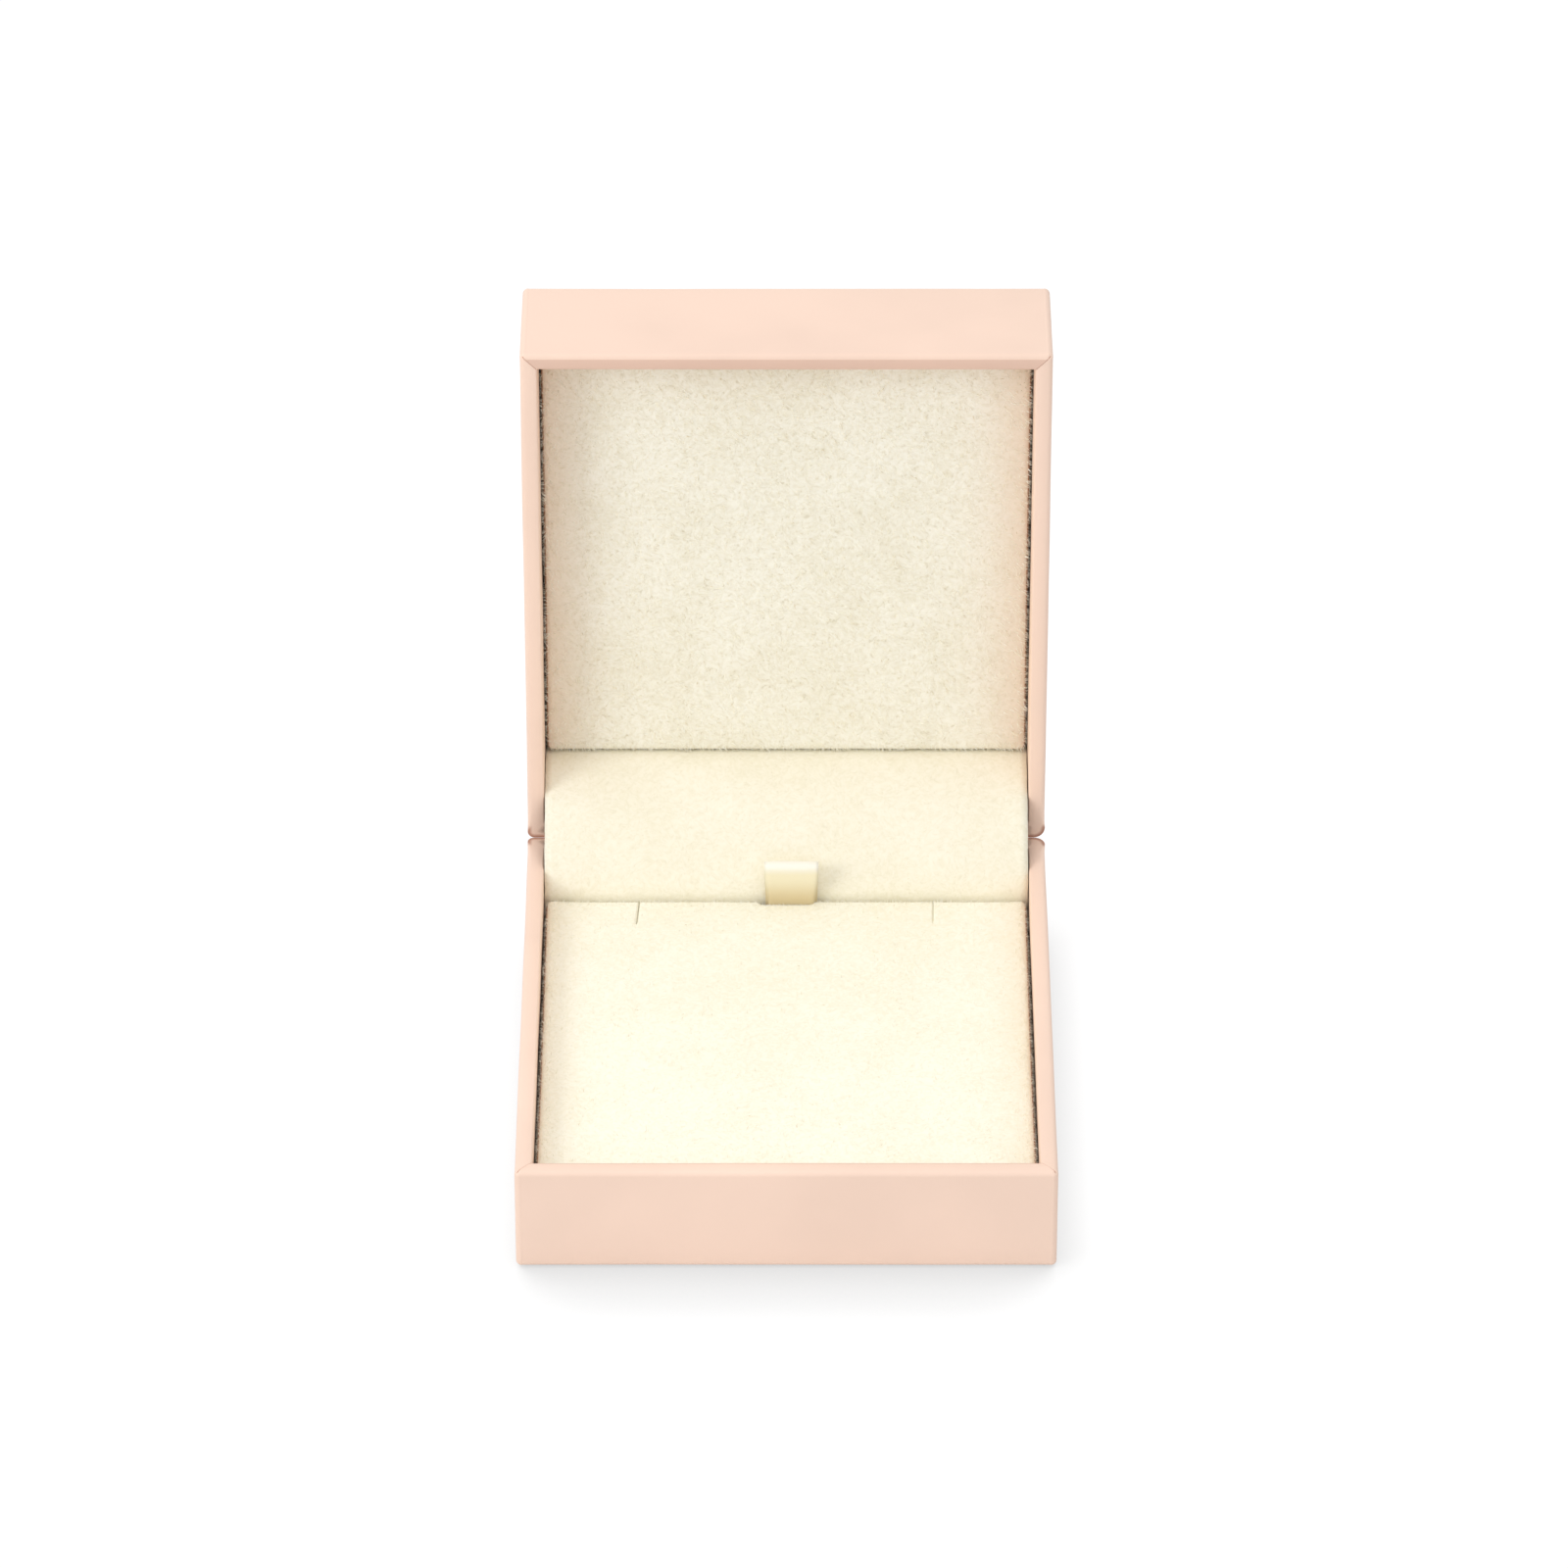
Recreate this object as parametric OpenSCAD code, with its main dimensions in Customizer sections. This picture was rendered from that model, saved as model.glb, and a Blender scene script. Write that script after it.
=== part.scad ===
// Hinged jewellery box, shown with its lid open. Two moulded trays are wrapped in
// leatherette and joined by a steel hinge under a velvet flap. A velvet pad lines the
// lid, and a second one, with chain slits and a ribbon tab, lifts out of the base.
// Millimetres. The origin is the middle of the underside, the front faces -Y.

/* [Box] */
// Width over the leatherette
box_w = 90; // [80:1:104]
// Depth over the leatherette, front to back
box_d = 96; // [86:1:110]
// Height of the base
base_h = 20; // [18:0.5:26]
// Height of the lid
lid_h = 24; // [22:0.5:30]
// Gap between the two rims when the lid is shut
rim_gap = 0.2; // [0.1:0.05:0.4]
// How far the lid has turned from shut, in degrees
open_angle = 93; // [86:1:98]

/* [Trays] */
// Side walls of the moulded trays
wall_t = 2; // [1.6:0.1:2.4]
// Floor of the base tray and ceiling of the lid tray
floor_t = 2; // [1.6:0.1:2.6]
// Rounding of the upright edges at the front
front_corner_r = 0.9; // [0.7:0.1:1.5]
// Rounding of the upright edges beside the hinge
hinge_corner_r = 1.9; // [1.2:0.1:2.2]

/* [Leatherette] */
// Thickness of the leatherette
wrap_t = 0.45; // [0.3:0.05:0.6]
// Rounding along the outside of the rims
rim_r = 0.9; // [0.7:0.05:1.1]
// Rounding along the inside of the rims
lip_r = 0.6; // [0.5:0.05:0.8]
// Rounding round the underside and the lid's top
foot_r = 0.8; // [0.7:0.05:1.1]
// How far the leatherette is turned down inside the base
base_turn_in = 7; // [6:0.5:8]
// How far the leatherette is turned into the lid
lid_turn_in = 12; // [10.5:0.5:13]
// How far the leatherette is turned under the base
under_turn = 10; // [7:0.5:14]
// Thickness of the sheet glued under the base
sheet_t = 0.3; // [0.2:0.05:0.5]
// Distance from the sheet's edge to the sides of the box
sheet_inset = 3; // [2:0.25:5]

/* [Pads] */
// Depth of the insert's face below the base's rim
insert_recess = 4.4; // [4:0.1:5.2]
// Depth of the lid pad's face below the lid's rim
lid_pad_recess = 9; // [8.5:0.1:10]
// Distance from the hinge line to the near edge of each pad
pad_to_hinge = 12; // [11.5:0.25:14]
// Gap between a pad and the walls beside it
pad_gap = 0.35; // [0.25:0.05:0.6]
// Thickness of the pile cloth
velvet_t = 0.6; // [0.4:0.05:0.8]
// Thickness of the foam under the cloth
foam_t = 2.4; // [1.6:0.1:3]
// Thickness of the backing board
board_t = 1.2; // [0.8:0.1:1.6]
// Width of the cloth turned under the board
hem_w = 9; // [6:0.5:12]
// Rounding along the edges of a pad
pad_r = 1.1; // [0.9:0.05:1.4]

/* [Pad frames] */
// Thickness of the folded card of the frames under the pads
card_t = 1; // [0.8:0.1:1.4]
// Width of the card ledge that carries a pad
ledge_w = 5; // [4:0.5:8]

/* [Chain slits] */
// Distance between the two slits
slit_spacing = 51; // [40:1:60]
// Length of a slit from the pad's near edge
slit_len = 7.5; // [5:0.5:12]
// Width of a slit
slit_w = 0.4; // [0.3:0.1:0.8]

/* [Ribbon tab] */
// Width of the ribbon
ribbon_w = 9.2; // [7:0.1:12]
// Thickness of one ply
ribbon_t = 0.35; // [0.25:0.05:0.45]
// Height of the loop above the pad
ribbon_h = 8; // [6:0.25:8.5]
// Radius of the fold at the top of the loop
ribbon_fold_r = 1; // [0.8:0.1:1.3]
// Width across the two plies where they enter the pad
ribbon_root_t = 1; // [0.95:0.05:1.4]
// Gap round the ribbon where it passes the pad
ribbon_gap = 0.1; // [0.05:0.05:0.2]
// Length of the ribbon's tail glued under the board
ribbon_tail = 6; // [4:0.5:8]

/* [Hinge] */
// Distance from each end of the hinge to the side of the box
hinge_margin = 3.4; // [3.3:0.1:6]
// Thickness of the steel leaves
leaf_t = 0.5; // [0.4:0.05:0.6]
// Depth of the leaves down the inside of the walls
leaf_depth = 7; // [6:0.25:8]
// Radius of the hinge pin
pin_r = 0.6; // [0.5:0.05:0.7]
// Gap between the pin and its knuckles
pin_clear = 0.05; // [0.03:0.01:0.08]
// Number of knuckles, an odd number
knuckles = 5; // [3:2:9]
// Gap between neighbouring knuckles
knuckle_gap = 0.3; // [0.2:0.05:0.5]
// Gap between the knuckles and everything they turn against
cove_gap = 0.2; // [0.15:0.05:0.3]
// Radius of the rivets' shanks
rivet_r = 0.8; // [0.6:0.05:1]
// Radius of the rivets' heads
rivet_head_r = 1.4; // [1.3:0.1:1.8]
// Height of the rivets' heads
rivet_head_t = 0.4; // [0.3:0.05:0.6]
// Distance between neighbouring rivets
rivet_pitch = 34; // [26:1:36]

/* [Snap springs] */
// Width of a spring
spring_w = 7; // [5:0.5:8]
// Thickness of the spring strip
spring_t = 0.3; // [0.2:0.05:0.4]
// Distance between the two springs
spring_spacing = 34; // [32:1:36]
// How far the springs' bend stands off the hinge line
spring_reach = 3.6; // [3.5:0.1:4]
// Gap between a spring and the leaves it lies on
spring_gap = 0.05; // [0.03:0.01:0.1]

/* [Flap] */
// Thickness of the flap
flap_t = 0.6; // [0.4:0.05:0.7]
// Gap between the flap and the edges of the pads
flap_gap = 0.3; // [0.25:0.05:0.5]
// Gap between the flap and the walls beside it
flap_side_gap = 0.4; // [0.3:0.05:0.8]
// Length of the flap glued to the card frame under each pad
flap_glue = 2.2; // [1.5:0.1:4]
// How far the flap leaves the base's pad edge upright
flap_rise = 5; // [3:0.5:7]
// How far the flap reaches straight out of the lid
flap_run = 7.5; // [5:0.5:9]

/* [Hidden] */
$fn = 48;
over = 1;                               // how far a cut runs past what it cuts
pink = [0.96, 0.83, 0.77];
cream = [0.98, 0.95, 0.86];
steel = [0.62, 0.61, 0.6];
grey_board = [0.72, 0.69, 0.64];

half_d = box_d / 2;
rim_wall = wall_t + 2 * wrap_t;         // a wall with leatherette on both faces
well_w = box_w - 2 * rim_wall;
well_d = box_d - 2 * rim_wall;
base_tray_h = base_h - sheet_t;
lid_z = base_h + rim_gap;               // the shut lid's rim
hinge_z = base_h + rim_gap / 2;

pad_w = well_w - 2 * pad_gap;
pad_front = -well_d / 2 + pad_gap;
pad_rear = half_d - pad_to_hinge;
pad_len = pad_rear - pad_front;
pad_mid = (pad_rear + pad_front) / 2;
pad_t = 2 * velvet_t + foam_t + board_t;
core_t = foam_t + board_t;
card_w = well_w + 2 * wrap_t;           // the card frames fill the trays wall to wall
card_front = -well_d / 2 - wrap_t;
rail_rear = pad_rear + flap_gap;        // the flap is glued to this face of each frame

hinge_w = box_w - 2 * hinge_margin;
knuckle_r = pin_r + pin_clear + leaf_t;
cove_r = knuckle_r + cove_gap;
knuckle_len = (hinge_w - (knuckles - 1) * knuckle_gap) / knuckles;
leaf_back = half_d - wrap_t - wall_t;   // the tray wall that a leaf is riveted to
leaf_face = leaf_back - leaf_t;
leaf_w = min(hinge_w, well_w - 2 * wrap_t);

// ---- placing ----

// Turns what is drawn for the shut lid up to where the open lid stands.
module open_lid() {
    translate([0, half_d, hinge_z])
        rotate([-open_angle, 0, 0])
            translate([0, -half_d, -hinge_z])
                children();
}

// A tray is drawn hanging below its rim: the base's as it is, the lid's upside down.
module at_base_rim() {
    translate([0, 0, base_h]) children();
}

module at_lid_rim() {
    open_lid() translate([0, 0, lid_z]) mirror([0, 0, 1]) children();
}

module box_at(low, high) {
    translate(low) cube(high - low);
}

module rod_x(r, length) {
    rotate([0, 90, 0]) cylinder(r = r, h = length, center = true);
}

// Extrudes an outline drawn in the Y-Z plane to both sides of the middle.
module across(length) {
    rotate([90, 0, 90]) linear_extrude(length, center = true) children();
}

// ---- outlines ----

// What a rounded corner at the origin leaves out of a square one.
module corner_cut(r) {
    difference() {
        translate([-over, -over]) square(r + over);
        translate([r, r]) circle(r);
    }
}

// A rectangle round the origin with its own radius at the front and rear corners.
module plan(w, d, r_front, r_rear) {
    difference() {
        square([w, d], center = true);
        for (side = [0, 1]) mirror([side, 0]) {
            translate([-w / 2, -d / 2]) corner_cut(r_front);
            translate([-w / 2, d / 2]) mirror([0, 1]) corner_cut(r_rear);
        }
    }
}

// Section of a half of the box from side to side, solid: rim at y = 0, foot at
// y = -h. It shrinks all round by inset.
module block_section(w, h, inset) {
    difference() {
        translate([-w / 2 + inset, -h + inset]) square([w - 2 * inset, h - 2 * inset]);
        for (side = [0, 1]) mirror([side, 0]) {
            translate([-w / 2 + inset, -inset]) mirror([0, 1]) corner_cut(rim_r - inset);
            translate([-w / 2 + inset, -h + inset]) corner_cut(foot_r - inset);
        }
    }
}

// Section of the well inside the walls, which opens out over the rounded lips.
module well_section(w, depth, inset) {
    open_w = w - 2 * (rim_wall - inset);
    translate([-open_w / 2, -depth]) square([open_w, depth + over]);
    if (lip_r > inset)
        for (side = [0, 1]) mirror([side, 0])
            translate([-open_w / 2, -inset]) rotate(180) corner_cut(lip_r - inset);
}

// ---- trays and their leatherette ----
// Where two walls meet, their roundings meet in a mitre, like the leatherette's folds.

module block(h, inset) {
    intersection() {
        across(box_w) block_section(box_d, h, inset);
        rotate(90) across(box_d) block_section(box_w, h, inset);
        translate([0, 0, -h - over]) linear_extrude(h + 2 * over)
            plan(box_w - 2 * inset, box_d - 2 * inset, front_corner_r - inset, hinge_corner_r - inset);
    }
}

module well(depth, inset) {
    intersection() {
        across(box_w) well_section(box_d, depth, inset);
        rotate(90) across(box_d) well_section(box_w, depth, inset);
    }
}

module tray_block(h) {
    difference() {
        block(h, wrap_t);
        well(h - wrap_t - floor_t, wrap_t);
    }
}

// Room for the hinge in the rear wall: the seat of a leaf and the cove of the knuckles.
module hinge_room() {
    box_at([-hinge_w / 2 - cove_gap, leaf_face, -leaf_t], [hinge_w / 2 + cove_gap, half_d + over, over]);
    translate([0, half_d, rim_gap / 2]) rod_x(cove_r, hinge_w + 2 * cove_gap);
}

module rivet_places() {
    for (place = [-1:1])
        translate([place * rivet_pitch, leaf_back, -leaf_depth * 0.62]) rotate([90, 0, 0]) children();
}

module tray(h) {
    difference() {
        tray_block(h);
        hinge_room();
        rivet_places() cylinder(r = rivet_r, h = 2 * (wall_t + over), center = true);
    }
}

// The leatherette covers the walls and rim, is turned down inside, and is turned under
// the other way by under, or right across when under is 0.
module leatherette(h, turn_in, under) {
    in_wall = wrap_t + wall_t / 2;
    in_floor = -h + wrap_t + floor_t / 2;
    difference() {
        block(h, 0);
        tray_block(h);
        well(turn_in + over, 0);
        box_at([-box_w / 2 + in_wall, -half_d + in_wall, in_floor],
            [box_w / 2 - in_wall, half_d - in_wall, -turn_in]);
        box_at([-leaf_w / 2 - cove_gap, leaf_face, in_floor],
            [leaf_w / 2 + cove_gap, leaf_back + wall_t / 2, over]);
        hinge_room();
        if (under > 0)
            box_at([-box_w / 2 + under, -half_d + under, -h - over],
                [box_w / 2 - under, half_d - under, in_floor]);
    }
}

module base_tray() {
    color("whitesmoke") at_base_rim() tray(base_tray_h);
}

module lid_tray() {
    color("whitesmoke") at_lid_rim() tray(lid_h);
}

module base_wrap() {
    color(pink) at_base_rim() leatherette(base_tray_h, base_turn_in, under_turn);
}

module lid_wrap() {
    color(pink) at_lid_rim() leatherette(lid_h, lid_turn_in, 0);
}

module base_bottom_sheet() {
    color(pink) linear_extrude(sheet_t)
        plan(box_w - 2 * sheet_inset, box_d - 2 * sheet_inset, front_corner_r, front_corner_r);
}

// ---- pads ----

// A block below z = 0 with its top edges and upright corners rounded.
module soft_block(w, d, t, r) {
    intersection() {
        across(w) soft_end(d, t, r);
        rotate(90) across(d) soft_end(w, t, r);
        translate([0, 0, -t - over]) linear_extrude(t + 2 * over) plan(w, d, r, r);
    }
}

module soft_end(w, t, r) {
    difference() {
        translate([-w / 2, -t]) square([w, t]);
        for (side = [0, 1]) mirror([side, 0])
            translate([-w / 2, 0]) mirror([0, 1]) corner_cut(r);
    }
}

module pad_foam() {
    translate([0, pad_mid, -velvet_t])
        soft_block(pad_w - 2 * velvet_t, pad_len - 2 * velvet_t, foam_t, pad_r - velvet_t);
}

module pad_board() {
    translate([0, pad_mid, -velvet_t - core_t]) linear_extrude(board_t)
        plan(pad_w - 2 * velvet_t, pad_len - 2 * velvet_t, pad_r - velvet_t, pad_r - velvet_t);
}

// The cloth goes over the foam, down the sides and under the board as a hem.
module pad_velvet() {
    translate([0, pad_mid, 0])
        difference() {
            soft_block(pad_w, pad_len, pad_t, pad_r);
            translate([0, 0, -velvet_t])
                soft_block(pad_w - 2 * velvet_t, pad_len - 2 * velvet_t, core_t, pad_r - velvet_t);
            box_at([-pad_w / 2 + hem_w, -pad_len / 2 + hem_w, -pad_t - over],
                [pad_w / 2 - hem_w, pad_len / 2 - hem_w, -pad_t + velvet_t + over / 2]);
        }
}

// Folded card under a pad: upright walls with a ledge along their tops.
module card_frame(h) {
    difference() {
        box_at([-card_w / 2, card_front, -h], [card_w / 2, rail_rear, 0]);
        box_at([-card_w / 2 + card_t, card_front + card_t, -h - over],
            [card_w / 2 - card_t, rail_rear - card_t, -card_t]);
        box_at([-card_w / 2 + card_t + ledge_w, card_front + card_t + ledge_w, -card_t - over],
            [card_w / 2 - card_t - ledge_w, rail_rear - card_t - ledge_w, over]);
    }
}

// ---- lid pad ----

module at_lid_pad() {
    at_lid_rim() translate([0, 0, -lid_pad_recess]) children();
}

module lid_pad_velvet() {
    color(cream) at_lid_pad() pad_velvet();
}

module lid_pad_foam() {
    color("white") at_lid_pad() pad_foam();
}

module lid_pad_board() {
    color(grey_board) at_lid_pad() pad_board();
}

module lid_pad_frame() {
    color(grey_board) at_lid_pad() translate([0, 0, -pad_t])
        card_frame(lid_h - wrap_t - floor_t - lid_pad_recess - pad_t);
}

// ---- insert that lifts out of the base ----

module at_insert() {
    translate([0, 0, base_h - insert_recess]) children();
}

// What is cut out of every layer of the insert: the chain slits and the ribbon's notch.
module insert_cuts() {
    for (side = [-1, 1])
        box_at([side * slit_spacing / 2 - slit_w / 2, pad_rear - slit_len, -pad_t - over],
            [side * slit_spacing / 2 + slit_w / 2, pad_rear + over, over]);
    box_at([-ribbon_w / 2 - ribbon_gap, pad_rear - ribbon_root_t - ribbon_gap, -pad_t - over],
        [ribbon_w / 2 + ribbon_gap, pad_rear + over, over]);
}

module insert_velvet() {
    color(cream) at_insert() difference() {
        pad_velvet();
        insert_cuts();
        box_at([-ribbon_w / 2 - ribbon_gap, pad_rear - ribbon_root_t - ribbon_tail - ribbon_gap, -pad_t - over],
            [ribbon_w / 2 + ribbon_gap, pad_rear + over, -velvet_t - core_t]);
    }
}

module insert_foam() {
    color("white") at_insert() difference() {
        pad_foam();
        insert_cuts();
    }
}

module insert_board() {
    color(grey_board) at_insert() difference() {
        pad_board();
        insert_cuts();
    }
}

// The loop is a drop that narrows to the two plies where it enters the pad. It is
// drawn smaller by inset to give the inside of the loop.
module ribbon_drop(inset) {
    middle = ribbon_h - ribbon_fold_r;
    root = ribbon_root_t / 2 - inset;
    fold = ribbon_fold_r - inset;
    translate([0, middle]) circle(fold);
    polygon([[-root, -pad_t], [root, -pad_t], [root, 0], [fold, middle],
        [-fold, middle], [-root, 0]]);
}

module ribbon_tab() {
    color(cream) at_insert() translate([0, pad_rear - ribbon_root_t / 2, 0]) {
        across(ribbon_w) difference() {
            ribbon_drop(0);
            ribbon_drop(ribbon_t);
        }
        box_at([-ribbon_w / 2, -ribbon_root_t / 2 - ribbon_tail, -pad_t],
            [ribbon_w / 2, -ribbon_root_t / 2 + ribbon_t / 2, -pad_t + ribbon_t]);
    }
}

module insert_ledge() {
    color(grey_board) at_insert() translate([0, 0, -pad_t])
        card_frame(base_tray_h - wrap_t - floor_t - insert_recess - pad_t);
}

// ---- hinge ----

// One leaf lies on the rear rim and is bent down inside the wall. It has every second
// knuckle, counted from first.
module hinge_leaf(first) {
    difference() {
        union() {
            box_at([-hinge_w / 2, leaf_face, -leaf_t], [hinge_w / 2, half_d - cove_r, 0]);
            box_at([-leaf_w / 2, leaf_face, -leaf_depth], [leaf_w / 2, leaf_back, 0]);
            for (place = [first:2:knuckles - 1])
                translate([knuckle_x(place), half_d, 0]) {
                    translate([0, 0, rim_gap / 2]) rod_x(knuckle_r, knuckle_len);
                    box_at([-knuckle_len / 2, -cove_r - over / 2, -leaf_t], [knuckle_len / 2, 0, 0]);
                }
        }
        translate([0, half_d, rim_gap / 2]) rod_x(pin_r + pin_clear, hinge_w + over);
        rivet_places() cylinder(r = rivet_r, h = 2 * (leaf_t + over), center = true);
    }
}

function knuckle_x(place) = -hinge_w / 2 + knuckle_len / 2 + place * (knuckle_len + knuckle_gap);

// A shank through leaf and wall, with a flat head on the leaf. The wall's far side is
// under the leatherette.
module rivets() {
    rivet_places() {
        translate([0, 0, -wall_t]) cylinder(r = rivet_r, h = wall_t + leaf_t);
        translate([0, 0, leaf_t]) cylinder(r = rivet_head_r, h = rivet_head_t);
    }
}

module hinge_leaf_base() {
    color(steel) at_base_rim() hinge_leaf(0);
}

module hinge_leaf_lid() {
    color(steel) at_lid_rim() hinge_leaf(1);
}

module hinge_rivets_base() {
    color(steel) at_base_rim() rivets();
}

module hinge_rivets_lid() {
    color(steel) at_lid_rim() rivets();
}

module hinge_pin() {
    color(steel) translate([0, half_d, hinge_z]) rod_x(pin_r, hinge_w);
}

// ---- pieces that bend across the hinge ----
// They are drawn in the Y-Z plane with the hinge line at the origin.

// A point of the open lid, given its distance from the hinge and its depth in the lid.
function in_lid(from_hinge, depth) = let (z = depth + rim_gap / 2)
    [z * sin(open_angle) - from_hinge * cos(open_angle),
    z * cos(open_angle) + from_hinge * sin(open_angle)];

function bezier(p, t) = p[0] * pow(1 - t, 3) + p[1] * 3 * t * pow(1 - t, 2)
    + p[2] * 3 * pow(t, 2) * (1 - t) + p[3] * pow(t, 3);

function left_of(a, b) = [a[1] - b[1], b[0] - a[0]] / norm(b - a);

// The line moved sideways by side at every point.
function moved(line, side) = [for (i = [0:len(line) - 1])
    line[i] + side * left_of(line[max(i - 1, 0)], line[min(i + 1, len(line) - 1)])];

function reversed(line) = [for (i = [len(line) - 1:-1:0]) line[i]];

module strip(line, thickness) {
    polygon(concat(moved(line, thickness / 2), reversed(moved(line, -thickness / 2))));
}

bend_steps = 16;
flap_from = -(pad_to_hinge - flap_gap - flap_t / 2);
flap_low = -insert_recess - rim_gap / 2;
flap_high = in_lid(-flap_from, lid_pad_recess);
flap_tuck = pad_t + flap_glue;
flap_bend = [[flap_from, flap_low], [flap_from, flap_low + flap_rise],
    in_lid(-flap_from, lid_pad_recess - flap_run), flap_high];
flap_line = concat([[flap_from, flap_low - flap_tuck]],
    [for (i = [0:bend_steps]) bezier(flap_bend, i / bend_steps)],
    [in_lid(-flap_from, lid_pad_recess + flap_tuck)]);

module hinge_flap() {
    color(cream) translate([0, half_d, hinge_z])
        across(well_w - 2 * flap_side_gap) strip(flap_line, flap_t);
}

// Each spring is bowed from one leaf to the other and snaps the lid open or shut.
spring_from = leaf_face - half_d - spring_gap - spring_t / 2;
spring_bend = [[spring_from, 0], [spring_from, spring_reach],
    in_lid(-spring_from, -spring_reach), in_lid(-spring_from, 0)];
spring_line = concat([[spring_from, -leaf_depth]],
    [for (i = [0:bend_steps]) bezier(spring_bend, i / bend_steps)],
    [in_lid(-spring_from, leaf_depth)]);

module snap_springs() {
    color(steel) for (side = [-1, 1])
        translate([side * spring_spacing / 2, half_d, hinge_z])
            across(spring_w) strip(spring_line, spring_t);
}

base_tray();
base_wrap();
base_bottom_sheet();
insert_ledge();
hinge_leaf_base();
hinge_rivets_base();
hinge_pin();
snap_springs();
hinge_flap();
lid_tray();
lid_wrap();
lid_pad_frame();
lid_pad_board();
lid_pad_foam();
lid_pad_velvet();
hinge_leaf_lid();
hinge_rivets_lid();
insert_board();
insert_foam();
insert_velvet();
ribbon_tab();
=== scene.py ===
import math

import bmesh
import bpy
import numpy as np
from mathutils import Matrix, Vector, noise


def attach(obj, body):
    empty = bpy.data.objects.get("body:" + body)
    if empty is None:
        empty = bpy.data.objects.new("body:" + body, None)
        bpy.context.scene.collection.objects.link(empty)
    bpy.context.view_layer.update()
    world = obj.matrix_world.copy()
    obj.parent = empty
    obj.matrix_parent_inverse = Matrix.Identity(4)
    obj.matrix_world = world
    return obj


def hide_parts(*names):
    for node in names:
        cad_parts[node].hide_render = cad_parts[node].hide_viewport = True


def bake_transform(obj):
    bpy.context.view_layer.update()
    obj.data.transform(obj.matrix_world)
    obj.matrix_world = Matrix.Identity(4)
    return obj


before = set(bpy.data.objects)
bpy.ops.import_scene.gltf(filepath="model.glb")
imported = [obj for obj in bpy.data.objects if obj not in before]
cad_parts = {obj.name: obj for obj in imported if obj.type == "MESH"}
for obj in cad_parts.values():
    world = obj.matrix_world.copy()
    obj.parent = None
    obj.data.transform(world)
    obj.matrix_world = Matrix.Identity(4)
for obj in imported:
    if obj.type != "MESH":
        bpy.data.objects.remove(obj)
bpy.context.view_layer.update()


# ---- Camera ----
# It looks straight at the front of the box from 35 degrees above, through a long
# lens, so that the sides hardly converge.
camera_elevation = math.radians(34.864)
camera_distance = 1.4488
camera_target = Vector((-0.00039, 0, 0.06489))
towards_camera = Vector((0, -math.cos(camera_elevation), math.sin(camera_elevation)))
camera = bpy.data.objects.new("camera", bpy.data.cameras.new("camera"))
camera.data.sensor_width = 36
camera.data.lens = 199.26
camera.data.clip_start = 0.1
camera.data.clip_end = 20
camera.location = camera_target + camera_distance * towards_camera
camera.rotation_euler = (math.pi / 2 - camera_elevation, 0, 0)
bpy.context.scene.collection.objects.link(camera)
bpy.context.scene.camera = camera


# ---- Table and light ----
# A white table top under a white dome that is brightest overhead, with one soft lamp
# from the left and a small low one in front. The table keeps the box's shadow from the
# lamps, and beside the box a painted shadow dims its glow, most in front and to the right.
# From below it can be looked through, and an opening under the box lets light in.
class Wire:
    """An output socket that takes part in arithmetic. node() adds any other node."""

    def __init__(self, tree, socket=None):
        self.tree, self.socket = tree, socket

    def node(self, kind, settings=(), inputs=(), out=0):
        made = self.tree.nodes.new(kind)
        for name, value in dict(settings).items():
            if name == "stops":
                ramp = made.color_ramp.elements
                while len(ramp) < len(value):
                    ramp.new(0.5)
                for stop, (place, colour) in zip(ramp, value):
                    stop.position, stop.color = place, (*colour, 1)
            else:
                setattr(made, name, value)
        for name, value in dict(inputs).items():
            if isinstance(value, Wire):
                self.tree.links.new(value.socket, made.inputs[name])
            elif hasattr(made.inputs[name].default_value, "__len__") and len(value) == 3:
                size = len(made.inputs[name].default_value)
                made.inputs[name].default_value = (*value, 1)[:size]
            else:
                made.inputs[name].default_value = value
        return Wire(self.tree, made.outputs[out] if made.outputs else None)

    def math(self, operation, *values):
        return self.node("ShaderNodeMath", {"operation": operation}, dict(enumerate(values)))

    def clamped(self, low, high):
        settings = {"interpolation_type": "SMOOTHSTEP"}
        inputs = {"Value": self, "From Min": low, "From Max": high}
        return self.node("ShaderNodeMapRange", settings, inputs)

    def blend(self, a, b):
        """Colour a where this is 0 and colour b where it is 1."""
        inputs = {"Factor": self, 6: a, 7: b}
        return self.node("ShaderNodeMix", {"data_type": "RGBA"}, inputs, 2)

    def __add__(self, other):
        return self.math("ADD", self, other)

    def __sub__(self, other):
        return self.math("SUBTRACT", self, other)

    def __rsub__(self, other):
        return self.math("SUBTRACT", other, self)

    def __mul__(self, other):
        return self.math("MULTIPLY", self, other)

    __radd__, __rmul__ = __add__, __mul__


def empty_tree(owner):
    owner.use_nodes = True
    owner.node_tree.nodes.clear()
    return Wire(owner.node_tree)


def srgb(*levels):
    return tuple(((v / 255 + 0.055) / 1.055) ** 2.4 for v in levels)


horizon_light, zenith_light = 0.40, 1.25
world = bpy.data.worlds.new("studio")
bpy.context.scene.world = world
sky = empty_tree(world)
seen = sky.node("ShaderNodeLightPath", out="Is Camera Ray")
for ray in ("Is Glossy Ray", "Is Transmission Ray"):
    seen = seen.math("MAXIMUM", seen, sky.node("ShaderNodeLightPath", out=ray))
way = sky.node("ShaderNodeTexCoord", out="Generated")
height = sky.node("ShaderNodeSeparateXYZ", (), {0: way}, out=2)
dome = height.math("MAXIMUM", height, 0) * (zenith_light - horizon_light) + horizon_light
level = seen + dome - seen * dome
background = sky.node("ShaderNodeBackground", (), {"Color": (1, 1, 1), "Strength": level})
sky.node("ShaderNodeOutputWorld", (), {"Surface": background})

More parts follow.
